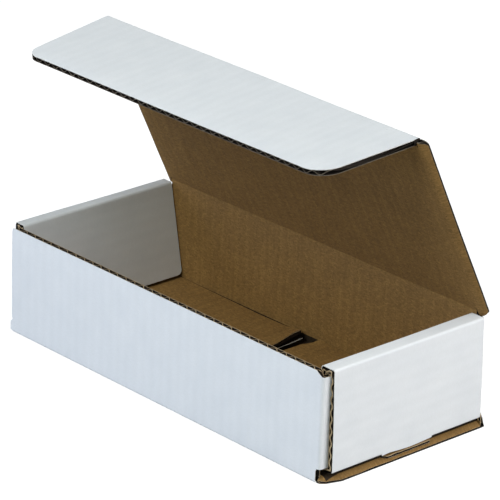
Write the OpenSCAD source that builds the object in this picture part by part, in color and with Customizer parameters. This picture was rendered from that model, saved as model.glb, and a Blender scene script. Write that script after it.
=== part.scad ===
// Corrugated mailer box with rolled double ends, a hinged lid and a tuck flap on the lid.
// White outside, kraft inside. Length along X, front wall at -Y, underside at Z = 0.

/* [Board] */
// Thickness of the corrugated board
board_t = 3.2; // [2.8:0.1:4]
// Distance from one flute to the next
flute_pitch = 6.35; // [5.5:0.05:8]
// Thickness of each liner
liner_t = 0.35; // [0.25:0.05:0.5]
// Thickness of the wavy medium between the liners
medium_t = 0.4; // [0.3:0.05:0.5]
// Radius left on the inside of a crease
crease_r = 0.4; // [0.2:0.1:1]
// Radius on the outside of a crease
fold_r = 1.6; // [0.8:0.1:3]
// Clearance between panels that lie on each other
layer_gap = 0.3; // [0.2:0.05:0.6]

/* [Tray] */
// Length inside, from ear to ear
inside_l = 221.6; // [180:0.2:320]
// Depth inside, from the front wall to the back wall
inside_w = 101.6; // [90:0.2:160]
// Height inside, from the floor flaps to the top of the rolled ends
inside_h = 50.5; // [40:0.5:80]
// How far the cut top edge of the front wall stays below the rolled ends
front_drop = 0.8; // [0:0.1:3]
// How far the bottom panel stands out past the end panels
ledge = 0.3; // [0:0.1:3]
// How far the front wall steps in below its left ear
foot_step_left = 0.2; // [0.1:0.1:3]
// How far the front wall steps in below its right ear
foot_step_right = 2.7; // [0.1:0.1:3]
// Height of that foot
foot_h = 5.6; // [4.5:0.1:7]
// How far the back wall's feet stand out past the ears
tip_out = 0.1; // [0:0.1:1]
// Width of the sloping end of the bottom panel at each front corner
ledge_slope_w = 2.5; // [0.5:0.1:3]
// Length of the sloping end of the bottom panel at each front corner
ledge_slope_l = 8; // [2:0.5:12]
// Drop of the sloping cut at each top corner of the front wall
corner_drop = 2.7; // [1:0.1:4]
// Gap between neighbouring ears behind each end panel
ear_meet = 6; // [2:0.5:30]

/* [Rolled ends] */
// Mean clearance of a rolled end from the front and back walls
end_gap = 1.3; // [0.9:0.1:3]
// How far the rolled ends sit towards the back wall
end_shift = 0.6; // [0:0.1:0.6]
// Length of the underside that rises to the foot of an end panel
heel_run = 2; // [1:0.1:3]
// Height by which it rises
heel_rise = 1.1; // [0.5:0.1:1.2]
// Lean of the inner panels into the box, in degrees
inner_lean = 9; // [2:0.5:12]
// Clearance under the lower edge of the inner panels
inner_foot = 1.5; // [0.5:0.1:4]
// Corner radius of the inner panels
inner_corner_r = 3; // [1:0.5:10]
// Width of the lock tab at the foot of each end panel
tab_w = 32; // [20:1:50]
// How far the lock tab stands out past the end panel
tab_out = 0.3; // [0:0.1:2]

/* [Floor flaps] */
// Space between the bottom panel and the floor flaps
floor_gap = 0.9; // [0.3:0.1:1.5]
// Half of the gap between the two floor flaps
flap_meet = 2.5; // [1:0.5:20]
// How far each corner of a floor flap is cut back
flap_bevel = 6.5; // [1:0.5:20]
// Length of the straight middle of a floor flap's end
flap_nose = 20; // [10:1:60]
// Gap to the back wall at the free end of a floor flap
flap_back_gap = 2.6; // [1.5:0.1:6]

/* [Lid] */
// Angle between the lid and its closed place, in degrees
lid_open = 63.5; // [0:0.5:180]
// How far the lid stands out past the ears at each end
lid_over = 1.6; // [0:0.1:4]
// Clearance between the closed tuck flap and the front wall
front_gap = 0.4; // [0.3:0.1:1.5]
// Corner radius of the lid beside the tuck flap
lid_front_r = 4.5; // [2:0.5:8]
// Corner radius of the lid at the hinge
lid_back_r = 2; // [0.5:0.5:2.5]
// How far the lid's corners reach past the hinge, beside the back wall
lid_reach = 2.2; // [0.5:0.1:2.5]
// Depth of the groove between the liners along the lid's cut sides
groove_d = 1.6; // [0.5:0.1:3]

/* [Tuck flap] */
// Bend of the tuck flap out of the plane of the lid, in degrees
tuck_bend = 69.5; // [0:0.5:90]
// Height of the tuck flap
tuck_h = 57; // [20:0.5:57]
// How far the tuck flap is set in from each end of the lid
tuck_step = 5.3; // [5:0.1:20]
// How much narrower it is on each side at its free edge
tuck_taper = 5.3; // [1:0.1:15]
// Radius of its left free corner
tuck_r_left = 8.5; // [3:0.5:20]
// Radius of its right free corner
tuck_r_right = 13; // [3:0.5:20]

/* [Hidden] */
white = "#d9dee3";
arc_steps = 6;
void_steps = 6;
void_phase = 140;
void_rim = 0.08;
eps = 0.02;

// Half thickness of the board and the length that a crease takes up
half_t = board_t / 2;
bend_l = crease_r + board_t;

// Tray, from the inside out
half_w = inside_w / 2;
out_w = half_w + board_t;
ear_in = inside_l / 2;
ear_x = ear_in + board_t;
panel_in = ear_x + layer_gap;
panel_x = panel_in + board_t;
sheet_x = panel_x + ledge;
wall_x = ear_x - bend_l;
foot_left = ear_x - foot_step_left;
foot_right = ear_x - foot_step_right;
tip_x = ear_x + tip_out;
tip_low = sheet_x - 0.9;
end_w = half_w - end_gap;
end_back = end_w + end_shift;

// Levels of the floor, the ears and the rolled ends
flap_z0 = board_t + floor_gap;
flap_z1 = flap_z0 + board_t;
roll_top = flap_z1 + inside_h;
front_top = roll_top - front_drop;
ear_z0 = flap_z1 + layer_gap;
ear_z1 = roll_top - board_t - layer_gap;
inner_z = flap_z1 + inner_foot;

// Hinge of the lid on the back wall and of the tuck flap on the lid
knuckle_gap = 0.35;
hinge_y = out_w - half_t;
hinge_z = roll_top + layer_gap + half_t;
lid_w = hinge_y + out_w + front_gap + half_t;
lid_x = ear_x + lid_over;
tuck_x = lid_x - tuck_step;

// Plane geometry of a bent sheet
function unit(v) = v / norm(v);
function left_of(v) = [-v[1], v[0]];
function turned(v, a) = [v[0] * cos(a) - v[1] * sin(a), v[0] * sin(a) + v[1] * cos(a)];
function turn(u, v) = atan2(u[0] * v[1] - u[1] * v[0], u * v);

// One side of a crease at corner b, between points a and c: wide outside and tight inside
function crease(a, b, c, off) =
    let (
        u = unit(b - a),
        v = unit(c - b),
        corner = b + (left_of(u) + left_of(v)) * off / (1 + u * v)
    )
    rounded(corner - u, corner, corner + v, off * turn(u, v) < 0 ? fold_r : crease_r);

// One side of a bent sheet that follows path p at distance off
function side(p, off) =
    let (n = len(p) - 1)
    concat(
        [p[0] + left_of(unit(p[1] - p[0])) * off],
        [for (i = [1:n - 1]) each crease(p[i - 1], p[i], p[i + 1], off)],
        [p[n] + left_of(unit(p[n] - p[n - 1])) * off]
    );
function backwards(list) = [for (i = [len(list) - 1:-1:0]) list[i]];
function sheet(p) = concat(side(p, half_t), backwards(side(p, -half_t)));

// Arc of radius r about o, from angle a0 to a1
function arc(o, r, a0, a1) =
    [for (k = [0:arc_steps]) o + r * [cos(a0 + (a1 - a0) * k / arc_steps), sin(a0 + (a1 - a0) * k / arc_steps)]];

// Corner b of an outline rounded to radius r, between points a and c
function rounded(a, b, c, r) =
    let (
        u = unit(b - a),
        v = unit(c - b),
        th = turn(u, v),
        o = b - u * r * tan(abs(th) / 2) + left_of(u) * r * sign(th)
    )
    [for (k = [0:arc_steps]) o + turned(-left_of(u) * sign(th) * r, th * k / arc_steps)];

// Hollow between the medium and one liner, centred on x = 0
function flute_wave(phase) = -(half_t - liner_t - medium_t / 2) * cos(phase) + 0.75 * medium_t;
function flute_void(s) =
    let (top = half_t - liner_t, q = flute_pitch * void_phase / 360)
    concat(
        [[-q, s * top], [q, s * top]],
        [for (k = [0:void_steps])
            let (phase = void_phase * (1 - 2 * k / void_steps))
            [flute_pitch * phase / 360, s * min(flute_wave(phase), top - void_rim)]]
    );

// Row of flute hollows within reach of x = 0, on both sides of the medium
module flutes(reach) {
    n = floor((reach - flute_pitch / 2) / flute_pitch);
    for (i = [-n:n]) {
        translate([i * flute_pitch, 0]) polygon(flute_void(1));
        translate([(i + 0.5) * flute_pitch, 0]) polygon(flute_void(-1));
    }
}

// Extrusions from a side view along X and from a front view along Y
module along_x(half) {
    rotate([90, 0, 90]) linear_extrude(2 * half, center = true) children();
}
module along_y(half) {
    rotate([90, 0, 0]) linear_extrude(2 * half, center = true) children();
}

// Front wall, bottom and back wall in one strip, with the bead of the lid's crease
module wall_strip() {
    along_x(sheet_x) polygon(sheet([
        [-out_w + half_t, front_top],
        [-out_w + half_t, half_t],
        [out_w - half_t, half_t],
        [hinge_y, hinge_z]
    ]));
    translate([0, hinge_y, hinge_z]) rotate([0, 90, 0]) cylinder(h = 2 * sheet_x, r = half_t, center = true, $fn = 32);
}

// Plan of the bottom panel, and front views of both walls with their feet
bottom_w = out_w - bend_l;
bottom_plan = [
    [-sheet_x, bottom_w], [-sheet_x, ledge_slope_l - bottom_w], [ledge_slope_w - sheet_x, -bottom_w],
    [sheet_x - ledge_slope_w, -bottom_w], [sheet_x, ledge_slope_l - bottom_w], [sheet_x, bottom_w]
];
front_view = [
    [-foot_left, -1], [foot_right, -1], [foot_right, foot_h], [wall_x, ear_z0],
    [wall_x, hinge_z + board_t], [-wall_x, hinge_z + board_t],
    [-wall_x, ear_z0], [-foot_left, foot_h]
];
back_view = [
    [-tip_low, -1], [tip_low, -1], [tip_low, half_t], [tip_x, foot_h], [wall_x, ear_z0],
    [wall_x, hinge_z + board_t], [-wall_x, hinge_z + board_t],
    [-wall_x, ear_z0], [-tip_x, foot_h], [-tip_low, half_t]
];

// What the die cut leaves of the strip: the bottom in full, the walls between their ears
module strip_outline() {
    lower = 2 * bend_l;
    translate([0, 0, -board_t]) linear_extrude(lower) polygon(bottom_plan);
    translate([0, -out_w, 0]) along_y(lower) polygon(front_view);
    translate([0, out_w, 0]) along_y(lower) polygon(back_view);
}

// One ear, folded in from the right end of the front wall
module ear() {
    difference() {
        translate([0, 0, ear_z0]) linear_extrude(front_top - ear_z0) polygon(sheet([
            [wall_x - bend_l, -out_w + half_t],
            [ear_x - half_t, -out_w + half_t],
            [ear_x - half_t, -ear_meet / 2]
        ]));
        // sloping cut at the top corner
        translate([0, -out_w, 0]) along_y(out_w) polygon([
            [wall_x - corner_drop / 3, front_top],
            [ear_x - half_t / 2, front_top - corner_drop],
            [ear_x + board_t, front_top - corner_drop],
            [ear_x + board_t, front_top + 1],
            [wall_x - corner_drop / 3, front_top + 1]
        ]);
        // room for the roll
        translate([wall_x, -end_back - layer_gap, ear_z1]) cube([2 * board_t, out_w, inside_h]);
    }
}

// Front view of the right rolled end: stub of the floor flap, end panel, top and inner panel
roll_z = roll_top - half_t;
inner_x = ear_in - layer_gap - half_t;
inner_end = [inner_x - (roll_z - inner_z) * tan(inner_lean), inner_z];
module roll_profile() {
    polygon(sheet([
        [ear_in - 2 * board_t, flap_z0 + half_t],
        [panel_x - half_t - heel_run, flap_z0 + half_t],
        [panel_x - half_t, flap_z0 + half_t + heel_rise],
        [panel_x - half_t, roll_z],
        [inner_x, roll_z],
        inner_end
    ]));
}

// Hollows of the flutes that run from front to back through the end and inner panels
module roll_flutes() {
    reach = (roll_top - flap_z0) / 2 - bend_l;
    translate([panel_x - half_t, (roll_top + flap_z0) / 2]) rotate(90) flutes(reach);
    low = (inner_z + roll_z) / 2;
    translate([inner_x - (roll_z - low) * tan(inner_lean), low]) rotate(90 - inner_lean) flutes(reach - board_t);
}

// Notch for the lock tab, and the rounded lower corners of the inner panel
module roll_cuts() {
    translate([panel_in - crease_r, -tab_w / 2 - layer_gap, 0])
        cube([3 * board_t, tab_w + 2 * layer_gap, ear_z0]);
    for (y = [-1, 1]) {
        c = end_w - inner_corner_r;
        translate([inner_x - 6 * board_t, end_shift + y * c, inner_z + inner_corner_r]) rotate([90, 0, 90])
            linear_extrude(5 * board_t) difference() {
                translate([y > 0 ? 0 : -2 * inner_corner_r, -2 * inner_corner_r])
                    square(2 * inner_corner_r);
                circle(inner_corner_r, $fn = 32);
            }
    }
}

// Plan of the right floor flap, with its front edge on the front wall
module floor_flap_plan() {
    y_back = half_w - flap_back_gap;
    x0 = flap_meet;
    x1 = flap_meet + flap_bevel;
    polygon([
        [x0, -flap_nose / 2], [x1, -half_w - eps], [ear_in - board_t, -half_w - eps],
        [ear_in - board_t, end_back], [x1, y_back], [x0, flap_nose / 2]
    ]);
}

// The right end: rolled panels, floor flap and lock tab
module end_strip() {
    difference() {
        translate([0, end_shift, 0]) along_y(end_w) difference() {
            roll_profile();
            roll_flutes();
        }
        roll_cuts();
    }
    translate([0, 0, flap_z0]) linear_extrude(board_t) floor_flap_plan();
    translate([ear_in - board_t, -tab_w / 2, flap_z0])
        cube([panel_x + tab_out - ear_in + board_t, tab_w, board_t]);
}

// Flute hollows of the front wall, open at its top edge
module front_flutes() {
    translate([0, -out_w + half_t, bend_l + half_t]) linear_extrude(roll_top) flutes(wall_x - board_t);
}

// Groove between the liners along the cut ends of the bottom panel
module ledge_grooves() {
    for (x = [-1, 1]) {
        translate([x * sheet_x, 0, half_t])
            cube([2 * groove_d, 2 * bottom_w + eps, board_t - 2 * liner_t - medium_t], center = true);
    }
}

module tray() {
    color(white) {
        difference() {
            intersection() {
                wall_strip();
                strip_outline();
            }
            front_flutes();
            ledge_grooves();
        }
        for (mx = [0, 1]) {
            mirror([mx, 0, 0]) {
                end_strip();
                ear();
                mirror([0, 1, 0]) ear();
            }
        }
    }
}

// The lid lies flat along -Y, with the hinge on the X axis
module lid_flat() {
    a = [-lid_x, lid_reach];
    b = [-lid_x, -lid_w];
    c = [lid_x, -lid_w];
    d = [lid_x, lid_reach];
    notch_x = wall_x + 2 * knuckle_gap;
    notch_y = -half_t - knuckle_gap;
    difference() {
        union() {
            translate([0, 0, -half_t]) linear_extrude(board_t) polygon(concat(
                rounded(d, a, b, lid_back_r),
                rounded(a, b, c, lid_front_r),
                rounded(b, c, d, lid_front_r),
                rounded(c, d, a, lid_back_r),
                [[notch_x, lid_reach], [notch_x, notch_y], [-notch_x, notch_y], [-notch_x, lid_reach]]
            ));
            translate([0, -lid_w, 0]) rotate([0, 90, 0]) cylinder(h = 2 * tuck_x, r = half_t, center = true, $fn = 32);
        }
        for (x = [-1, 1]) {
            translate([x * lid_x, -lid_w / 2, 0])
                cube([2 * groove_d, 2 * lid_w, board_t - 2 * liner_t - medium_t], center = true);
        }
    }
}

// The tuck flap lies flat along -Y, with its crease on the X axis
module tuck_flat() {
    a = [-tuck_x, -half_t - knuckle_gap];
    b = [-tuck_x + tuck_taper, -tuck_h];
    c = [tuck_x - tuck_taper, -tuck_h];
    d = [tuck_x, -half_t - knuckle_gap];
    difference() {
        translate([0, 0, -half_t]) linear_extrude(board_t) polygon(concat(
            [a],
            rounded(a, b, c, tuck_r_left),
            rounded(b, c, d, tuck_r_right),
            [d]
        ));
        translate([0, -bend_l - half_t, 0]) rotate([90, 0, 0])
            linear_extrude(tuck_h) flutes(tuck_x - tuck_taper - flute_pitch / 4);
    }
}

module at_lid() {
    translate([0, hinge_y, hinge_z]) rotate([-lid_open, 0, 0]) children();
}

module lid() {
    color(white) at_lid() lid_flat();
}

module tuck_flap() {
    color(white) at_lid() translate([0, -lid_w, 0]) rotate([tuck_bend, 0, 0]) tuck_flat();
}

tray();
lid();
tuck_flap();
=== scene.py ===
"""Corrugated mailer box: one folded sheet of board with a white and a kraft side.

Every panel is drawn flat, as it lies in the blank, with two liners and the wavy medium
between them. It is then folded into place. Lengths are in millimetres until a mesh is made.
In the flat, u runs along the fold path, v across it and w through the board (white side > 0).
"""

import math

import bmesh
import bpy
from mathutils import Matrix, Vector, noise

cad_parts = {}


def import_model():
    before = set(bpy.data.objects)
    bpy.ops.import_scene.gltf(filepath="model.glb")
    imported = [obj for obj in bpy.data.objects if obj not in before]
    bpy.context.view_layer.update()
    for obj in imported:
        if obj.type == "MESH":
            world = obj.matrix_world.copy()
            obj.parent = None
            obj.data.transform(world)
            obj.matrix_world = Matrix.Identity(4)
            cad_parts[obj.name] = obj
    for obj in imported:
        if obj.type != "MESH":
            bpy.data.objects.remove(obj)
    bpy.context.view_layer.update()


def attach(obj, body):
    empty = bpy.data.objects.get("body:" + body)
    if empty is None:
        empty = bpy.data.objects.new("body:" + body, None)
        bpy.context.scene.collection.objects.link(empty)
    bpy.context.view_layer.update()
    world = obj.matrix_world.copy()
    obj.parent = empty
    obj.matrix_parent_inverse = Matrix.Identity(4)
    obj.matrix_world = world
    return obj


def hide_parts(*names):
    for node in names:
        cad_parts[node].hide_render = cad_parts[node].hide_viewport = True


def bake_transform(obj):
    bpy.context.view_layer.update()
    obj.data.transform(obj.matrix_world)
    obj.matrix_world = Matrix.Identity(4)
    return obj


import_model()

MM = 0.001

# Board
BOARD_T = 3.2
HALF_T = BOARD_T / 2
LINER_T = 0.35
MEDIUM_T = 0.42
GLUE = 0.02  # the medium's tips reach this far into the liners
FLUTE_MARGIN = 0.5  # the medium stops this far from the sides that run along its flutes
PITCH = 6.35
STEPS_PER_FLUTE = 8
FLUTE_DRIFT, FLUTE_DRIFT_PACE, FLUTE_SEED = 0.5, 0.045, 3.1
GAP = 0.3

# Folds
CREASE_R = 0.4  # inside a fold
FOLD_R = 1.2  # outside a fold
CORNER_R = 1.8  # outside the fold between a wall and its ear
FOLD_SPARE = 0.1  # spare radius in the length that a fold takes up
STRAIGHT = 0.25  # share of a fold's length before its arc, and again after it
MOST_SHARE = 1.2  # of the way from the inside to the outside radius, where the board swells
FOLD_ZONE = 2  # worn edges, shade and the ends' unevenness keep this far from a fold

# Tray
EAR_X = 114.0
PANEL_X = EAR_X + GAP + BOARD_T
SHEET_X = PANEL_X + 0.3
WALL_X = EAR_X - 3.6
OUT_W = 54.0
WALL_MID = OUT_W - HALF_T
HALF_W = OUT_W - BOARD_T
END_FRONT = -48.9
END_BACK = 50.1
FLAP_Z0 = BOARD_T + 0.9
FLAP_Z1 = FLAP_Z0 + BOARD_T
ROLL_TOP = FLAP_Z1 + 50.5
FRONT_TOP = ROLL_TOP - 0.8
EAR_Z0 = FLAP_Z1 + GAP
EAR_Z1 = ROLL_TOP - BOARD_T - GAP
INNER_Z = FLAP_Z1 + 1.5
INNER_X = EAR_X - BOARD_T - GAP - HALF_T
LEAN = math.radians(9)
ROLL_Z = ROLL_TOP - HALF_T
FOOT_H = 5.6
HEEL_RUN = 2.0
HEEL_RISE = 1.1
TAB_W = 32.0

# Lid and tuck flap
HINGE_Y = WALL_MID
HINGE_Z = ROLL_TOP + GAP + HALF_T
LID_W = HINGE_Y + OUT_W + 0.4 + HALF_T
LID_X = EAR_X + 1.6
LID_OPEN = math.radians(63.5)
LID_REACH = 2.2
TUCK_BEND = math.radians(69.5)
TUCK_H = 57.0
TUCK_X = LID_X - 5.3
TUCK_TAPER = 5.3
TUCK_PINCH, TUCK_PINCH_RUN = 0.16, 2.0
CREASE_REACH = 2.4

# Seed and height of each panel's unevenness
FRONT_SWELL, BACK_SWELL = (1.0, 0.28), (4.0, 0.28)
LID_SWELL, TUCK_SWELL = (12.0, 0.35), (15.0, 0.3)
END_SEED, END_SWELL = 7.0, 0.25
SWELL_PACE = 0.017

# Squashed edges: the squashed strip's width, then share, wear, pace and seeds for squash()
CRUSH = 3.5
BOTTOM_WEAR = (0.64, 0.125, 0.11, (5.0, 2.0))
LID_WEAR = (0.74, 0.12, 0.15, (3.0, 6.0))

# Mesh
ARC_STEPS = 8
NEARLY_STRAIGHT = 1.55  # half of a corner's angle, in radians
FACE_ON = 0.9  # part of a face's normal that lies through the board
END_ON = 0.4  # part of a face's normal that lies along the flutes
SLICE_DIST = 1e-5
STEP, WIDE_STEP, BOTTOM_STEP, FINE_STEP = 9, 12, 7, 2
SHARP_ANGLE = math.radians(28)

# Kinds of face, in the order of MATERIALS. The fourth is painted shade: the flute hollows drawn
# near black
WHITE, KRAFT, RAW, HOLLOW_SHADE, WHITE_CUT, CUT_SHADE, SHADED = range(7)


def clamp(x):
    return min(1.0, max(0.0, x))


def turned(x, y, angle):
    """The point (x, y) turned about the origin."""
    c, s = math.cos(angle), math.sin(angle)
    return x * c - y * s, x * s + y * c


def wobble(x, y, z):
    """Smooth noise, from about -1 to 1."""
    return noise.noise(Vector((x, y, z)))


def linked(name, data):
    """A new object in the scene."""
    obj = bpy.data.objects.new(name, data)
    bpy.context.scene.collection.objects.link(obj)
    return obj


def to_mesh(bm, name="flat"):
    bmesh.ops.recalc_face_normals(bm, faces=bm.faces)
    mesh = bpy.data.meshes.new(name)
    bm.to_mesh(mesh)
    bm.free()
    return mesh


# Drawing in the flat


def rounded(corners):
    """Outline through (u, v, radius) corners, with each corner rounded."""
    out = []
    n = len(corners)
    for i, (x, y, r) in enumerate(corners):
        p = Vector((x, y))
        a = (Vector(corners[i - 1][:2]) - p).normalized()
        c = (Vector(corners[(i + 1) % n][:2]) - p).normalized()
        half = a.angle(c) / 2
        if r <= 0 or half > NEARLY_STRAIGHT:
            out.append((x, y))
            continue
        reach = r / math.tan(half)
        centre = p + (a + c).normalized() * (r / math.sin(half))
        start, end = p + a * reach - centre, p + c * reach - centre
        turn = start.angle_signed(end)
        for k in range(ARC_STEPS + 1):
            dx, dy = turned(start.x, start.y, -turn * k / ARC_STEPS)
            out.append((centre.x + dx, centre.y + dy))
    return out


def prism(outline, low, high):
    """Closed mesh between two heights over an outline."""
    bm = bmesh.new()
    a = [bm.verts.new((u, v, low)) for u, v in outline]
    b = [bm.verts.new((u, v, high)) for u, v in outline]
    n = len(outline)
    bm.faces.new(a[::-1])
    bm.faces.new(b)
    for i in range(n):
        j = (i + 1) % n
        bm.faces.new((a[i], a[j], b[j], b[i]))
    return to_mesh(bm)


def wave_prism(across, along, flute_axis, sign, amp, thick, shift):
    """The wavy medium over a rectangle, with flutes along axis u or v."""
    steps = max(STEPS_PER_FLUTE, int((across[1] - across[0]) / PITCH * STEPS_PER_FLUTE))
    bm = bmesh.new()
    rows = []
    for i in range(steps + 1):
        a = across[0] + (across[1] - across[0]) * i / steps
        drift = FLUTE_DRIFT * wobble(a * FLUTE_DRIFT_PACE, FLUTE_SEED, 0.0)
        h = shift + sign * amp * math.cos(2 * math.pi * a / PITCH + drift)
        low, high = h - thick / 2, h + thick / 2
        ring = ((along[0], low), (along[1], low), (along[1], high), (along[0], high))
        rows.append([bm.verts.new((b, a, w) if flute_axis == "u" else (a, b, w)) for b, w in ring])
    for r, s in zip(rows, rows[1:]):
        for k in range(4):
            bm.faces.new((r[k], r[(k + 1) % 4], s[(k + 1) % 4], s[k]))
    bm.faces.new(rows[0])
    bm.faces.new(rows[-1][::-1])
    return to_mesh(bm)


def boolean(mesh, tool, operation):
    """The mesh cut by another one."""
    a, b = linked("a", mesh), linked("b", tool)
    mod = a.modifiers.new("cut", "BOOLEAN")
    mod.operation, mod.solver, mod.object = operation, "EXACT", b
    got = bpy.data.meshes.new_from_object(a.evaluated_get(bpy.context.evaluated_depsgraph_get()))
    for o in (a, b):
        bpy.data.objects.remove(o)
    return got


def board(
    outline,
    flute_axis,
    cuts_u=(),
    cuts_v=(),
    holes=(),
    sign=1,
    cut=RAW,
    thick=MEDIUM_T,
    shift=0.0,
    recess=0.12,
):
    """Flat board as one bmesh: both liners and the medium, cut to the outline.

    cut is the kind of its cut edges, and sign, thick and shift place the medium between the
    liners. recess is how far the flutes' ends stop short of the outline.
    """
    us, vs = [p[0] for p in outline], [p[1] for p in outline]
    along, across = (min(us), max(us)), (min(vs), max(vs))
    if flute_axis == "v":
        along, across = across, along
    along = (along[0] + recess, along[1] - recess)
    across = (across[0] + FLUTE_MARGIN, across[1] - FLUTE_MARGIN)
    amp = HALF_T - LINER_T - thick / 2 + GLUE - abs(shift)
    wave = wave_prism(across, along, flute_axis, sign, amp, thick, shift)
    layers = [
        (prism(outline, HALF_T - LINER_T, HALF_T), WHITE),
        (prism(outline, -HALF_T, -HALF_T + LINER_T), KRAFT),
        (boolean(wave, prism(outline, -BOARD_T, BOARD_T), "INTERSECT"), HOLLOW_SHADE),
    ]
    # The medium and the liners' inner faces get near-black painted shade for the flute hollows;
    # only the medium's flute ends keep the cut colour
    flute = 0 if flute_axis == "u" else 1
    bm = bmesh.new()
    for mesh, kind in layers:
        for hole in holes:
            mesh = boolean(mesh, prism(hole, -2 * BOARD_T, 2 * BOARD_T), "DIFFERENCE")
        start = len(bm.faces)
        bm.from_mesh(mesh)
        bm.faces.ensure_lookup_table()
        for f in bm.faces[start:]:
            f.normal_update()
            if kind == HOLLOW_SHADE:
                f.material_index = cut if abs(f.normal[flute]) > END_ON else HOLLOW_SHADE
            elif abs(f.normal.z) < FACE_ON:
                f.material_index = WHITE_CUT if kind == WHITE else cut
            else:
                f.material_index = kind if (f.normal.z > 0) == (kind == WHITE) else HOLLOW_SHADE
    slice_at(bm, cuts_u, cuts_v)
    return bm


def slice_at(bm, cuts_u, cuts_v):
    """Edges across the flat sheet where it has to bend."""
    for axis, cuts in ((0, cuts_u), (1, cuts_v)):
        for c in cuts:
            at, normal = [0, 0, 0], [0, 0, 0]
            at[axis], normal[axis] = c, 1
            geom = bm.verts[:] + bm.edges[:] + bm.faces[:]
            bmesh.ops.bisect_plane(bm, geom=geom, dist=SLICE_DIST, plane_co=at, plane_no=normal)


def grid(low, high, step):
    """Cuts between low and high, about one step apart."""
    n = max(1, round((high - low) / step))
    return [low + (high - low) * k / n for k in range(1, n)]


def both_sides(cuts):
    return cuts + [-c for c in cuts]


def shade(bm, kinds, low, high, half_v=math.inf):
    """Faces of these kinds between two lengths u lie in the dark, up to half_v from the middle."""
    for f in bm.faces:
        mid = f.calc_center_median()
        if f.material_index in kinds and low < mid.x < high and abs(mid.y) < half_v:
            f.material_index = SHADED


# Folding


def right_of(d):
    return Vector((d.y, -d.x))


class Path:
    """A folded line in a plane through corner points. u is the length along it."""

    def __init__(self, points, fold_r=FOLD_R):
        self.points = [Vector(p) for p in points]
        self.fold_r = fold_r
        self.dirs = []
        self.u = [0.0]
        for a, b in zip(self.points, self.points[1:]):
            self.dirs.append((b - a).normalized())
            self.u.append(self.u[-1] + (b - a).length)
        self.length = self.u[-1]
        self.folds = []
        for i, (d0, d1) in enumerate(zip(self.dirs, self.dirs[1:]), 1):
            turn = math.atan2(d0.x * d1.y - d0.y * d1.x, d0.dot(d1))
            reach = (HALF_T + CREASE_R + FOLD_SPARE) * math.tan(abs(turn) / 2)
            self.folds.append((i, turn, reach))

    def at(self, u, w):
        """Point at length u, offset w to the right of the path."""
        for i, turn, reach in self.folds:
            if abs(u - self.u[i]) < reach:
                return self._in_fold(i, turn, reach, (u - self.u[i] + reach) / (2 * reach), w)
        i = 0
        while i < len(self.dirs) - 1 and u > self.u[i + 1]:
            i += 1
        d = self.dirs[i]
        return self.points[i] + d * (u - self.u[i]) + right_of(d) * w

    def _in_fold(self, i, turn, reach, t, w):
        """Straight, arc and straight again: wide outside the fold and tight inside it."""
        d0, d1 = self.dirs[i - 1], self.dirs[i]
        side = 1 if turn > 0 else -1
        half_tan = math.tan(abs(turn) / 2)
        share = min(MOST_SHARE, max(0.0, (side * w / HALF_T + 1) / 2))
        r = CREASE_R + (self.fold_r - CREASE_R) * share
        corner = self.points[i] + (right_of(d0) + right_of(d1)) * w / (1 + d0.dot(d1))
        straight = max(0.0, reach + side * w * half_tan - r * half_tan)
        if t < STRAIGHT:
            return corner - d0 * (r * half_tan + straight * (1 - t / STRAIGHT))
        if t > 1 - STRAIGHT:
            return corner + d1 * (r * half_tan + straight * (t - (1 - STRAIGHT)) / STRAIGHT)
        arm = right_of(d0) * r * side
        centre = corner - d0 * r * half_tan - arm
        angle = turn * (t - STRAIGHT) / (1 - 2 * STRAIGHT)
        return centre + Vector(turned(arm.x, arm.y, angle))

    def bends(self, n=6):
        """Where to cut the flat sheet so that it can follow the folds."""
        arc = [STRAIGHT + (1 - 2 * STRAIGHT) * k / n for k in range(n + 1)]
        cuts = []
        for i, _, reach in self.folds:
            cuts += [self.u[i] + reach * (2 * t - 1) for t in [0.0] + arc + [1.0]]
        return cuts


def swell(u, v, seed, amount):
    """Slow unevenness of the board, in millimetres."""
    return amount * wobble(u * SWELL_PACE + seed, v * SWELL_PACE, seed * 0.7)


def squash(u, v, w, rim, share, wear, pace, seeds):
    """Kraft liner pressed towards the white one over the last few millimetres before the rim.

    share is how much of the thickness is lost at the rim. It varies along u by up to wear.
    """
    edge = clamp((abs(v) - rim + CRUSH) / CRUSH)
    lost = share + wear * wobble(u * pace, math.copysign(seeds[0], v), seeds[1])
    return HALF_T - (HALF_T - w) * (1 - lost * edge * edge)


def to_object(name, bm, place, flute_axis):
    """Folds the flat bmesh with place(u, v, w) and keeps the flat places for the materials."""
    flat = [v.co.copy() for v in bm.verts]
    for v in bm.verts:
        v.co = place(*v.co) * MM
    mesh = to_mesh(bm, name)
    sheet = mesh.attributes.new("sheet", "FLOAT_VECTOR", "POINT")
    for d, p in zip(sheet.data, flat):
        across, along = (p.y, p.x) if flute_axis == "u" else (p.x, p.y)
        d.vector = (across * MM, along * MM, p.z * MM)
    for m in MATERIALS:
        mesh.materials.append(m)
    mesh.shade_smooth()
    mesh.set_sharp_from_angle(angle=SHARP_ANGLE)
    return linked(name, mesh)


def joined(name, objs):
    """Several objects as one."""
    bpy.ops.object.select_all(action="DESELECT")
    for o in objs:
        o.select_set(True)
    bpy.context.view_layer.objects.active = objs[0]
    bpy.ops.object.join()
    objs[0].name = objs[0].data.name = name
    return objs[0]


# Materials


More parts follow.
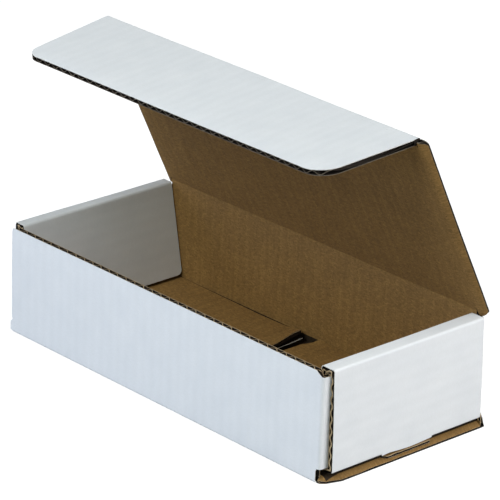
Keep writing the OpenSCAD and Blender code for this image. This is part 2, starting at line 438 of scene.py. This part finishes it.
class Nodes:
    """Short calls for building a node tree."""

    def __init__(self, name):
        self.mat = bpy.data.materials.new(name)
        self.mat.use_nodes = True
        self.tree = self.mat.node_tree
        self.shader = self.tree.nodes["Principled BSDF"]

    def add(self, kind, inputs, **props):
        node = self.tree.nodes.new(kind)
        for k, v in props.items():
            setattr(node, k, v)
        for k, v in inputs.items():
            if isinstance(v, bpy.types.NodeSocket):
                self.tree.links.new(v, node.inputs[k])
            else:
                node.inputs[k].default_value = v
        return node

    def math(self, op, a, b=0.0, c=0.0):
        return self.add("ShaderNodeMath", {0: a, 1: b, 2: c}, operation=op).outputs[0]

    def mix(self, factor, a, b):
        return self.add("ShaderNodeMix", {0: factor, 6: a, 7: b}, data_type="RGBA").outputs[2]

    def noise(self, vector, scale, detail, rough):
        inputs = {"Vector": vector, "Scale": scale, "Detail": detail, "Roughness": rough}
        return self.add("ShaderNodeTexNoise", inputs).outputs["Fac"]

    def stretch(self, vector, scale):
        inputs = {0: vector, 1: scale}
        return self.add("ShaderNodeVectorMath", inputs, operation="MULTIPLY").outputs[0]

    def range(self, value, low, high, to_low=0.0, to_high=1.0):
        inputs = {"Value": value, "From Min": low, "From Max": high}
        inputs.update({"To Min": to_low, "To Max": to_high})
        return self.add("ShaderNodeMapRange", inputs).outputs[0]

    def finish(self, color, rough, specular, height, bump):
        relief = self.add("ShaderNodeBump", {"Strength": 1.0, "Distance": bump, "Height": height})
        sockets = {"Base Color": color, "Roughness": rough, "Normal": relief.outputs[0]}
        for key, socket in sockets.items():
            self.tree.links.new(socket, self.shader.inputs[key])
        self.shader.inputs["Specular IOR Level"].default_value = specular
        return self.mat


def rgb(r, g, b):
    return (r, g, b, 1.0)


def tinted(color, factor):
    return rgb(*(min(1, factor * c) for c in color[:3]))


def sheet_coords(n):
    """Where a point lies in the flat sheet: across the flutes, along them and through the board."""
    node = n.add("ShaderNodeAttribute", {}, attribute_name="sheet", attribute_type="GEOMETRY")
    return node.outputs["Vector"]


def washboard(n, coords):
    """0 to 1 over each flute, strongest over the tips that are glued to the liner."""
    across = n.add("ShaderNodeSeparateXYZ", {0: coords}).outputs[0]
    wave = n.math("SINE", n.math("MULTIPLY", across, 2 * math.pi / (PITCH * MM)))
    return n.math("MULTIPLY_ADD", wave, 0.5, 0.5)


def white_liner():
    n = Nodes("white_liner")
    p = sheet_coords(n)
    ribs = washboard(n, p)
    cloud = n.noise(n.stretch(p, (1.0, 0.7, 1.0)), 90.0, 4.0, 0.55)
    fibres = n.noise(n.stretch(p, (0.5, 1.0, 1.0)), 1500.0, 3.0, 0.65)
    specks = n.noise(p, 900.0, 3.0, 0.7)
    color = n.mix(n.range(cloud, 0.3, 0.72), rgb(0.72, 0.74, 0.76), rgb(0.765, 0.78, 0.795))
    color = n.mix(n.range(fibres, 0.35, 0.75, 0.0, 0.22), color, rgb(0.62, 0.63, 0.635))
    color = n.mix(n.range(specks, 0.68, 0.8, 0.0, 0.35), color, rgb(0.50, 0.46, 0.40))
    color = n.mix(n.math("MULTIPLY", ribs, 0.05), color, rgb(0.50, 0.50, 0.49))
    height = n.math("ADD", n.math("MULTIPLY", ribs, 0.5), n.math("MULTIPLY", fibres, 0.25))
    height = n.math("ADD", height, n.math("MULTIPLY", cloud, 0.25))
    return n.finish(color, n.range(cloud, 0.3, 0.7, 0.7, 0.8), 0.2, height, 0.00005)


def kraft(name, dark, light, flecks=0.8, ribbing=0.34, bump=0.00012):
    """Brown paper; with other colours, the fibres of a cut edge, and the painted shade of flute
    hollows, of darkened cut edges and of kraft in the dark.
    """
    n = Nodes(name)
    p = sheet_coords(n)
    ribs = washboard(n, p)
    streak = n.noise(n.stretch(p, (1.0, 0.05, 1.0)), 480.0, 4.0, 0.65)
    cloud = n.noise(p, 60.0, 4.0, 0.6)
    fibres = n.noise(n.stretch(p, (0.35, 1.0, 1.0)), 1500.0, 3.0, 0.7)
    dots = n.noise(p, 1100.0, 3.0, 0.65)
    color = n.mix(n.range(cloud, 0.3, 0.7), dark, light)
    color = n.mix(n.range(streak, 0.4, 0.65, 0.0, 0.6), color, tinted(dark, 0.8))
    color = n.mix(n.range(fibres, 0.45, 0.75, 0.0, flecks), color, tinted(light, 1.55))
    color = n.mix(n.range(dots, 0.52, 0.72, 0.0, flecks), color, tinted(dark, 0.45))
    color = n.mix(n.math("MULTIPLY", ribs, ribbing), color, dark)
    height = n.math("ADD", n.math("MULTIPLY", ribs, 0.6), n.math("MULTIPLY", fibres, 0.4))
    height = n.math("ADD", height, n.math("MULTIPLY", dots, 0.2))
    return n.finish(color, n.range(cloud, 0.3, 0.7, 0.74, 0.86), 0.25, height, bump)


MATERIALS = [
    white_liner(),
    kraft("kraft_liner", rgb(0.207, 0.115, 0.035), rgb(0.27, 0.153, 0.047)),
    kraft("cut_fibre", rgb(0.30, 0.21, 0.12), rgb(0.46, 0.35, 0.215), 0.6, 0.0, 0.00012),
    # Painted shade: the paper in the flutes is the same kraft, drawn near black for the shade in
    # the hollows
    kraft("flute_hollows_painted_shade", rgb(0.008, 0.005, 0.003), rgb(0.02, 0.013, 0.008), 0.5, 0.0, 0.0001),
    kraft("white_cut", rgb(0.56, 0.54, 0.50), rgb(0.66, 0.65, 0.62), 0.3, 0.0, 0.0001),
    # Painted shade: the cut-fibre colour darkened, for the lid's and the tuck flap's cut edges
    kraft("cut_fibre_painted_shade", rgb(0.09, 0.07, 0.05), rgb(0.17, 0.14, 0.105), 0.5, 0.0, 0.0001),
    kraft("shaded_kraft", rgb(0.018, 0.011, 0.005), rgb(0.03, 0.018, 0.007)),
]


# Tray: front wall, bottom and back wall, with the ears

BACK_TOP = HINGE_Z - CREASE_REACH
EAR_MID = EAR_X - HALF_T
EAR_RUN = 60.0
strip_path = Path(
    [(-WALL_MID, FRONT_TOP), (-WALL_MID, HALF_T), (WALL_MID, HALF_T), (WALL_MID, BACK_TOP)]
)
corner_path = Path([(0.0, 0.0), (EAR_MID, 0.0), (EAR_MID, EAR_RUN)], CORNER_R)
U_FRONT, U_BACK = strip_path.u[1], strip_path.u[2]
EAR_V = corner_path.u[1]
EAR_END = EAR_V + WALL_MID - 3.0
EAR_NOTCH_V = EAR_V + WALL_MID + END_FRONT - 0.4
NEAR = 0.01
TURN_X = WALL_X - 0.5  # from here outwards the walls' ends follow corner_path

# Towards the front fold the bottom panel narrows by CORNER_IN, from CORNER_FAR to CORNER_NEAR
# before the fold, and then by CORNER_STEEP per millimetre
CORNER_IN, CORNER_NEAR, CORNER_FAR, CORNER_STEEP = 2.5, 2.0, 10.0, 1.8
# The left ears are squashed at their tops
EAR_PINCH, EAR_PINCH_Z, EAR_PINCH_RISE, EAR_PINCH_V = 0.55, 44.0, 10.0, 3.0
# Kraft under the floor flaps is shaded up to this height on the back wall
SHADE_Z = 6.8
SHADE_X = SHEET_X - 0.75 * CRUSH


def front_u(z):
    return FRONT_TOP - z


def back_u(z):
    return U_BACK + z - HALF_T


def front_half(top_x, foot_x, low_z, low_x):
    """Outline of the front wall's end and its ear, from the top edge to the bottom panel."""
    return [
        (0.0, top_x, 0.5),
        (front_u(EAR_Z1 + 0.2), EAR_V - 0.3, 0),
        (front_u(EAR_Z1 - 0.1), EAR_NOTCH_V, 0),
        (front_u(EAR_Z1 - 0.1), EAR_END, 4),
        (front_u(EAR_Z0 + 6), EAR_END, 0),
        (front_u(EAR_Z0), EAR_END - 5, 0),
        (front_u(EAR_Z0), min(foot_x, WALL_X + 1.6), 0),
        (front_u(FOOT_H), foot_x, 0.3),
        (front_u(low_z), foot_x, 0.3),
        (U_FRONT + 0.2, low_x, 0),
        (U_FRONT + CORNER_NEAR, SHEET_X - CORNER_IN, 0.6),
        (U_FRONT + CORNER_FAR, SHEET_X, 3),
    ]


BACK_HALF = [
    (U_BACK - 0.5, SHEET_X, 0.8),
    (U_BACK + 0.5, SHEET_X - 0.9, 0.6),
    (back_u(FOOT_H + 0.6), EAR_X + 0.1, 0.5),
    (back_u(EAR_Z0), WALL_X, 0),
    (back_u(EAR_Z0), EAR_END - 5, 0),
    (back_u(EAR_Z0 + 6), EAR_END, 0),
    (back_u(EAR_Z1 - 0.2), EAR_END, 4),
    (back_u(EAR_Z1 - 0.2), EAR_V + WALL_MID - END_BACK - 0.4, 0.4),
    (back_u(EAR_Z1 + 0.2), EAR_V, 0),
    (back_u(BACK_TOP), WALL_X, 0),
]
RIGHT_HALF = front_half(WALL_X - 1.2, EAR_X - 2.8, 2.4, EAR_X - 2.0) + BACK_HALF
LEFT_HALF = front_half(EAR_V - 1.0, EAR_X - 0.2, 2.6, EAR_X - 3.0) + BACK_HALF
strip_outline = rounded(RIGHT_HALF + [(u, -v, r) for u, v, r in reversed(LEFT_HALF)])


def place_strip(u, v, w):
    """Folds the strip, and folds the ears in at the ends of both walls."""
    in_front = u < front_u(EAR_Z0) + NEAR
    in_back = u > back_u(EAR_Z0) - NEAR
    if in_front or in_back:
        w += swell(u, v, *(FRONT_SWELL if in_front else BACK_SWELL))
    elif U_FRONT < u < U_BACK - FOLD_ZONE:
        taper = clamp((U_FRONT + CORNER_FAR - u) / (CORNER_FAR - CORNER_NEAR))
        steep = max(0.0, U_FRONT + CORNER_NEAR - u)
        rim = SHEET_X - CORNER_IN * taper - CORNER_STEEP * steep
        w = squash(u, v, w, rim, *BOTTOM_WEAR)
    if abs(v) > TURN_X and (in_front or in_back):
        z = FRONT_TOP - u if in_front else HALF_T + (u - U_BACK)
        if v < -EAR_V - EAR_PINCH_V:
            pinch = EAR_PINCH * clamp((z - EAR_PINCH_Z) / EAR_PINCH_RISE)
            w = HALF_T - (HALF_T - w) * (1 - pinch)
        q = corner_path.at(abs(v), w)
        y = -WALL_MID + q.y
        return Vector((math.copysign(q.x, v), y if in_front else -y, z))
    q = strip_path.at(u, w)
    return Vector((v, q.x, q.y))


strip_bm = board(
    strip_outline,
    "u",
    cuts_u=strip_path.bends()
    + [back_u(SHADE_Z)]
    + grid(0, front_u(EAR_Z0), STEP)
    + grid(back_u(EAR_Z0), strip_path.length, STEP)
    + grid(U_FRONT, U_BACK, BOTTOM_STEP)
    + grid(U_FRONT, U_FRONT + 12, FINE_STEP),
    cuts_v=both_sides(corner_path.bends() + [SHEET_X - CRUSH * k / 4 for k in range(1, 8)])
    + grid(-WALL_X, WALL_X, WIDE_STEP),
)
shade(strip_bm, (KRAFT,), U_FRONT + FOLD_ZONE, back_u(SHADE_Z), SHADE_X)
strip = to_object("strip", strip_bm, place_strip, "u")


# Tray: the two rolled ends with their floor flaps

FLAP_X0 = 2.5
END_MID = PANEL_X - HALF_T
HEEL_Z = FLAP_Z0 + HALF_T + HEEL_RISE
INNER_LEN = (ROLL_Z - INNER_Z) / math.cos(LEAN)
end_path = Path(
    [
        (FLAP_X0, FLAP_Z0 + HALF_T),
        (END_MID - HEEL_RUN, FLAP_Z0 + HALF_T),
        (END_MID, HEEL_Z),
        (END_MID, ROLL_Z),
        (INNER_X, ROLL_Z),
        (INNER_X - INNER_LEN * math.sin(LEAN), INNER_Z),
    ]
)
U_HEEL, U_PANEL, U_OUTER, U_INNER = end_path.u[1:5]
# The medium of the ends is thicker than elsewhere and lies nearer to the kraft liner
END_MEDIUM_T, END_SHIFT = 0.9, -0.3
# Between these lengths the white side lies in the dark, under the heel
HEEL_LOW, HEEL_HIGH = U_HEEL - 8, U_PANEL - 0.4

# For the right end (1) and the left end (-1): the floor flap's back corner as bevel, nose, gap
# and set-in, how far the outer and the inner panel lean in, and how far the flap stands up
FLAP_CORNER = {1: (4.0, 39.0, 0.9, 0.5), -1: (3.0, 24.0, 2.6, 0.0)}
LEAN_IN = {1: (1.4, 0.0), -1: (0.9, 2.4)}
LEAN_CURVE = 1.5
FLAP_LIFT = {1: 0.25, -1: 1.9}
LIFT_U = 40.0
# The right flap's back corner curls up
CURL_H, CURL_U, CURL_V, CURL_SIZE_U, CURL_SIZE_V = 1.1, 4.8, HALF_W - 1.5, 4.2, 2.5
# The left flap's back corner has come apart
OPEN_U, OPEN_V, OPEN_RUN = 14.0, 26.0, 20.0
OPEN_RISE, OPEN_SPREAD, OPEN_BACK = 1.8, 3.0, 1.2

NOTCH_FOOT, NOTCH_TOP = U_HEEL - 1.6, U_PANEL + 1.3
NOTCH_FRONT, NOTCH_BACK = -TAB_W / 2 - 0.3, TAB_W / 2 + 0.9
notch = [
    (NOTCH_FOOT, NOTCH_FRONT),
    (NOTCH_TOP, NOTCH_FRONT),
    (NOTCH_TOP, NOTCH_BACK),
    (NOTCH_FOOT, NOTCH_BACK),
]

# The end panel's ragged lip over the lock tab, from the floor up
LIP = U_PANEL - HEEL_Z
lip_outline = [
    (NOTCH_TOP, NOTCH_FRONT),
    (LIP + 5.1, NOTCH_FRONT),
    (LIP + 5.45, -TAB_W / 2 + 4.5),
    (LIP + 4.9, -TAB_W / 2 + 11),
    (LIP + 4.5, TAB_W / 2 - 14),
    (LIP + 4.75, TAB_W / 2 - 7),
    (LIP + 5.2, NOTCH_BACK),
    (NOTCH_TOP, NOTCH_BACK),
]
# A dark sheet reaches this far below the lip's lower edge: a painted shadow line in the gap under
# the lip
LIP_SHADOW_IN = 0.4

TAB_ROOT, TAB_TIP = U_HEEL - 4.0, SHEET_X - FLAP_X0
DROOP_U, DROOP_RUN = U_HEEL - 3.5, 3.2
TAB_ROUGH, TAB_ROUGH_PACE, TAB_SEED = 0.2, 0.35, 9.0
# Height and slope through the board of the squashed tab's kraft liner, and of all below it
TAB_KRAFT, TAB_REST = (1.95, 1.5), (3.1, 0.12)
tab_outline = rounded(
    [
        (TAB_ROOT, -TAB_W / 2, 0),
        (U_HEEL + 0.4, -TAB_W / 2, 0),
        (TAB_TIP, -TAB_W / 2 + 3.2, 0.8),
        (TAB_TIP, TAB_W / 2, 0.8),
        (TAB_ROOT, TAB_W / 2, 0),
    ]
)


def end_outline(side):
    """Outline of an end's strip: floor flap, end panel, roll and inner panel."""
    bevel, nose, gap, set_in = FLAP_CORNER[side]
    foot = U_HEEL - 6
    front = -HALF_W + 0.15
    return rounded(
        [
            (0.0, -10.0, 2),
            (6.5, front, 1),
            (foot, front, 0),
            (foot + 1.5, END_FRONT, 0),
            (end_path.length, END_FRONT, 3),
            (end_path.length, END_BACK, 3),
            (foot, END_BACK, 0),
            (bevel, HALF_W - gap, 1),
            (set_in, nose, 1),
        ]
    )


def lean_in(side, u):
    """How far the rolled end's outer and inner panels lean towards each other at their tops."""
    outer, inner = LEAN_IN[side]
    if u <= U_PANEL:
        return 0.0
    if u < U_OUTER:
        return -outer * ((u - U_PANEL) / (U_OUTER - U_PANEL)) ** LEAN_CURVE
    if u < U_INNER:
        t = (u - U_OUTER) / (U_INNER - U_OUTER)
        return inner * t - outer * (1 - t)
    return inner * (end_path.length - u) / (end_path.length - U_INNER)


def flap_lift(side, u, v):
    """How far a floor flap's free end stands up, and how far its board has come apart there."""
    lift = FLAP_LIFT[side] * (1 - u / LIFT_U) ** 2
    if side > 0:
        du, dv = (u - CURL_U) / CURL_SIZE_U, (v - CURL_V) / CURL_SIZE_V
        return lift + CURL_H * math.exp(-(du**4) - dv**2), 0.0
    corner = clamp((v - OPEN_V) / OPEN_RUN)
    return lift, corner * corner * (3 - 2 * corner) * max(0.0, 1 - u / OPEN_U) ** 2


def tab_height(u, v, w):
    """Height in the lock tab, which droops at the heel and is squashed beyond it."""
    droop = clamp((u - DROOP_U) / DROOP_RUN)
    in_kraft = w < -HALF_T + LINER_T + 0.05
    level, slope = TAB_KRAFT if in_kraft else TAB_REST
    squashed = level - slope * w + TAB_ROUGH * wobble(v * TAB_ROUGH_PACE, TAB_SEED, w)
    return (FLAP_Z0 + HALF_T - w) * (1 - droop) + squashed * droop


def place_end(side, part="panel"):
    """Folds the right or the left end's panel, lock tab or lip."""

    def place(u, v, w):
        if part == "lip":
            x, z = END_MID + w, HEEL_Z + u - U_PANEL
        elif part == "tab":
            x, z = FLAP_X0 + u, tab_height(u, v, w)
        else:
            amount = END_SWELL if u > U_PANEL + FOLD_ZONE else 0.0
            q = end_path.at(u, w + swell(u, v, END_SEED + side, amount))
            x, z = q.x + lean_in(side, u), q.y
            if u < LIFT_U:
                lift, open_up = flap_lift(side, u, v)
                up = 0.5 - w / BOARD_T
                z += lift + OPEN_RISE * up * open_up
                x += (OPEN_SPREAD * up - OPEN_BACK) * open_up
        return Vector((side * x, v, z))

    return place


ends = []
for side in (1, -1):
    panel = board(
        end_outline(side),
        "v",
        cuts_u=end_path.bends()
        + grid(0, U_HEEL, STEP)
        + grid(0, OPEN_U, FINE_STEP)
        + grid(U_PANEL, end_path.length, STEP)
        + [HEEL_LOW, HEEL_HIGH],
        cuts_v=grid(END_FRONT, END_BACK, STEP)
        + grid(OPEN_V - 2, HALF_W - 2, 3)
        + [HALF_W - 3, HALF_W - 1.5],
        holes=[notch],
        thick=END_MEDIUM_T,
        shift=END_SHIFT,
    )
    shade(panel, (WHITE, WHITE_CUT), HEEL_LOW, HEEL_HIGH)
    tab = board(
        tab_outline,
        "v",
        cuts_u=grid(TAB_ROOT, TAB_TIP, 0.8),
        cuts_v=grid(-TAB_W / 2, TAB_W / 2, 1),
        recess=0.1,
    )
    lip = board(lip_outline, "v")
    # Painted shadow: a dark sheet inside the lip that shows just below its lower edge, in place of
    # the shade in the gap under it
    lip_shadow_outline = [(u - LIP_SHADOW_IN, v) for u, v in lip_outline]
    under = bmesh.new()
    under.from_mesh(prism(lip_shadow_outline, -HALF_T + 0.4, HALF_T - 0.45))
    for f in under.faces:
        f.material_index = SHADED
    ends.append(to_object("end", panel, place_end(side), "v"))
    ends.append(to_object("tab", tab, place_end(side, "tab"), "v"))
    ends.append(to_object("lip", lip, place_end(side, "lip"), "v"))
    ends.append(to_object("lip_shadow", under, place_end(side, "lip"), "v"))

tray = joined("tray_board", [strip] + ends)
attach(tray, "tray")
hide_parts("tray")


# Lid and tuck flap

PIVOT = Vector((0, HINGE_Y, HINGE_Z))
LID_TURN = Matrix.Rotation(-LID_OPEN, 3, "X")
FOLD = PIVOT + LID_TURN @ Vector((0, -LID_W, 0))
TUCK_TURN = LID_TURN @ Matrix.Rotation(TUCK_BEND, 3, "X")


def place_lid(u, v, w):
    w = squash(u, v, w, LID_X, *LID_WEAR) + swell(u, v, *LID_SWELL)
    return PIVOT + LID_TURN @ Vector((v, -u, w))


def place_tuck(u, v, w):
    pinch = TUCK_PINCH * max(0.0, (u - TUCK_H + TUCK_PINCH_RUN) / TUCK_PINCH_RUN)
    w = w * (1 - pinch) + swell(u, v, *TUCK_SWELL)
    return FOLD + TUCK_TURN @ Vector((v, -u, w))


lid_outline = rounded(
    [
        (CREASE_REACH, -WALL_X - 0.1, 0),
        (-LID_REACH, -WALL_X - 0.7, 0.5),
        (-LID_REACH, -LID_X, 2.5),
        (LID_W - CREASE_REACH, -LID_X, 4.5),
        (LID_W - CREASE_REACH, -TUCK_X, 0),
        (LID_W - CREASE_REACH, TUCK_X + 0.4, 0),
        (LID_W + 0.5, TUCK_X + 0.4, 0.4),
        (LID_W + 0.5, LID_X, 2.4),
        (-LID_REACH, LID_X, 2.5),
        (-LID_REACH, WALL_X + 0.7, 0.5),
        (CREASE_REACH, WALL_X + 0.1, 0),
    ]
)
lid_bm = board(
    lid_outline,
    "u",
    cuts_u=grid(0, LID_W, STEP),
    cuts_v=grid(-LID_X, LID_X, WIDE_STEP) + both_sides([LID_X - CRUSH * k / 4 for k in range(5)]),
    # the lid's cut edges get the painted shade of the darkened cut-fibre colour
    cut=CUT_SHADE,
)
lid = to_object("lid_board", lid_bm, place_lid, "u")
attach(lid, "lid")
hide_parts("lid")

tuck_outline = rounded(
    [
        (CREASE_REACH, -TUCK_X, 0),
        (TUCK_H, -TUCK_X + TUCK_TAPER, 8.5),
        (TUCK_H, TUCK_X - TUCK_TAPER, 13),
        (CREASE_REACH, TUCK_X, 0),
    ]
)
tuck_bm = board(
    tuck_outline,
    "u",
    cuts_u=grid(0, TUCK_H, STEP) + [TUCK_H - TUCK_PINCH_RUN],
    cuts_v=grid(-TUCK_X, TUCK_X, WIDE_STEP),
    sign=-1,
    # the tuck flap's cut edges get the painted shade of the darkened cut-fibre colour
    cut=CUT_SHADE,
)
tuck = to_object("tuck_board", tuck_bm, place_tuck, "u")
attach(tuck, "tuck_flap")
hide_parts("tuck_flap")


# Creases where the lid meets the back wall and the tuck flap meets the lid, bent to their open pose

CREASE_OVERLAP = 0.05
CREASE_STEP, CREASE_WIDE_STEP, CREASE_ARC_STEPS = 0.4, 6, 10


def crease(name, corner, heading, turn, half_v, before, after):
    """A short stretch of sheet that bends by turn at the corner and meets two panels' surfaces.

    before and after hold where it meets each panel, in that panel's u, and the panel's unevenness.
    """
    ends = []
    for angle, sign in ((heading, -1), (heading + turn, 1)):
        ends.append(corner + sign * CREASE_REACH * Vector((math.cos(angle), math.sin(angle))))
    a, b = ends
    path = Path([a, corner, b])
    low, high = -CREASE_OVERLAP, path.length + CREASE_OVERLAP
    bm = bmesh.new()
    outline = [(low, -half_v), (high, -half_v), (high, half_v), (low, half_v)]
    bm.from_mesh(prism(outline, -HALF_T, HALF_T))
    # The crease's cut sides get the near-black painted shade of the flute hollows
    for f in bm.faces:
        nw = f.normal.z
        f.material_index = WHITE if nw > FACE_ON else KRAFT if nw < -FACE_ON else HOLLOW_SHADE
    cuts_u = path.bends(CREASE_ARC_STEPS) + grid(0, path.length, CREASE_STEP)
    slice_at(bm, cuts_u, grid(-half_v, half_v, CREASE_WIDE_STEP))

    def place(u, v, w):
        t = clamp(u / path.length)
        w += (1 - t) * swell(before[0], v, *before[1]) + t * swell(after[0], v, *after[1])
        q = path.at(u, w)
        return Vector((v, q.x, q.y))

    obj = to_object(name, bm, place, "u")
    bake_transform(obj)


lid_heading = math.pi - LID_OPEN
up = math.pi / 2
crease(
    "hinge_crease",
    Vector((HINGE_Y, HINGE_Z)),
    up,
    lid_heading - up,
    WALL_X,
    (strip_path.length, BACK_SWELL),
    (CREASE_REACH, LID_SWELL),
)
crease(
    "tuck_crease",
    Vector((FOLD.y, FOLD.z)),
    lid_heading,
    TUCK_BEND,
    TUCK_X,
    (LID_W - CREASE_REACH, LID_SWELL),
    (CREASE_REACH, TUCK_SWELL),
)


# Floor, light and camera, in metres

FLOOR_HALF = 3.0
FLOOR_DROP = 0.0002
FLOOR_GREY = 0.35
FLOOR_GLOW = 0.85  # how bright the floor is to the camera alone
WORLD_GLOW = 0.08  # how bright the white surroundings are to all but the camera
MIDDLE = (0, 0, 0.05)


def floor():
    r = FLOOR_HALF
    mesh = bpy.data.meshes.new("floor")
    mesh.from_pydata([(-r, -r, 0), (r, -r, 0), (r, r, 0), (-r, r, 0)], [], [(0, 1, 2, 3)])
    obj = linked("floor", mesh)
    obj.location.z = -FLOOR_DROP
    mat = bpy.data.materials.new("pale_floor")
    mat.use_nodes = True
    tree = mat.node_tree
    tree.nodes.remove(tree.nodes["Principled BSDF"])
    diffuse = tree.nodes.new("ShaderNodeBsdfDiffuse")
    diffuse.inputs["Color"].default_value = rgb(FLOOR_GREY, FLOOR_GREY, FLOOR_GREY)
    glow = tree.nodes.new("ShaderNodeEmission")
    path = tree.nodes.new("ShaderNodeLightPath")
    seen = tree.nodes.new("ShaderNodeMath")
    seen.operation = "MULTIPLY"
    seen.inputs[1].default_value = FLOOR_GLOW
    tree.links.new(path.outputs["Is Camera Ray"], seen.inputs[0])
    tree.links.new(seen.outputs[0], glow.inputs["Strength"])
    add = tree.nodes.new("ShaderNodeAddShader")
    tree.links.new(diffuse.outputs[0], add.inputs[0])
    tree.links.new(glow.outputs[0], add.inputs[1])
    tree.links.new(add.outputs[0], tree.nodes["Material Output"].inputs["Surface"])
    mesh.materials.append(mat)


def world():
    w = bpy.data.worlds.new("studio")
    bpy.context.scene.world = w
    w.use_nodes = True
    tree = w.node_tree
    back = tree.nodes["Background"]
    back.inputs["Color"].default_value = rgb(1, 1, 1)
    path = tree.nodes.new("ShaderNodeLightPath")
    mixed = tree.nodes.new("ShaderNodeMapRange")
    mixed.inputs["To Min"].default_value = WORLD_GLOW
    mixed.inputs["To Max"].default_value = 1.0
    tree.links.new(path.outputs["Is Camera Ray"], mixed.inputs["Value"])
    tree.links.new(mixed.outputs[0], back.inputs["Strength"])


def area_light(name, position, size, power, color=(1, 1, 1)):
    data = bpy.data.lights.new(name, "AREA")
    data.shape = "SQUARE"
    data.size = size
    data.energy = power
    data.color = color
    obj = linked(name, data)
    obj.location = position
    aim = Vector(MIDDLE) - Vector(position)
    obj.rotation_euler = aim.to_track_quat("-Z", "Y").to_euler()


# The camera comes from a fit to the photograph's edges, with angles in degrees, the focal length
# in pixels and other lengths in millimetres.
CAM_F = 3501.9
CAM_AZ, CAM_EL, CAM_ROLL = 46.63, 22.31, 2.07
CAM_TX, CAM_TY, CAM_DIST = 4.4, 35.9, 1731.6
CAM_TARGET = Vector((0, 0, 29.0))
IMAGE = 500
SENSOR = 36.0
CLIP_END = 20.0


def camera():
    az, el, ro = (math.radians(a) for a in (CAM_AZ, CAM_EL, CAM_ROLL))
    d = Vector((math.sin(az) * math.cos(el), -math.cos(az) * math.cos(el), math.sin(el)))
    flat = Vector((math.cos(az), math.sin(az), 0))
    up = Vector((-math.sin(az) * math.sin(el), math.cos(az) * math.sin(el), math.cos(el)))
    r = math.cos(ro) * flat + math.sin(ro) * up
    u = -math.sin(ro) * flat + math.cos(ro) * up
    eye = CAM_TARGET + CAM_TX * r + CAM_TY * u + CAM_DIST * d
    data = bpy.data.cameras.new("camera")
    data.sensor_width = SENSOR
    data.lens = CAM_F / IMAGE * SENSOR
    data.clip_end = CLIP_END
    obj = linked("camera", data)
    m = Matrix((r, u, d)).transposed().to_4x4()
    m.translation = eye * MM
    obj.matrix_world = m
    bpy.context.scene.camera = obj


floor()
world()
area_light("key", (0, -1.0, 1.1), 0.9, 16.5, (0.95, 1.0, 0.98))
area_light("side", (1.3, 0.55, 0.55), 0.8, 15.5, (1.0, 0.99, 1.0))
area_light("rim", (1.0, 0.7, 1.1), 0.9, 4.0)
area_light("fill", (1.1, -1.1, 0.6), 0.9, 2.6, (0.8, 1.0, 0.95))
area_light("low", (-0.8, -1.3, 0.35), 0.6, 7.8, (0.62, 0.70, 1.0))
camera()
bpy.context.scene.view_settings.view_transform = "Standard"
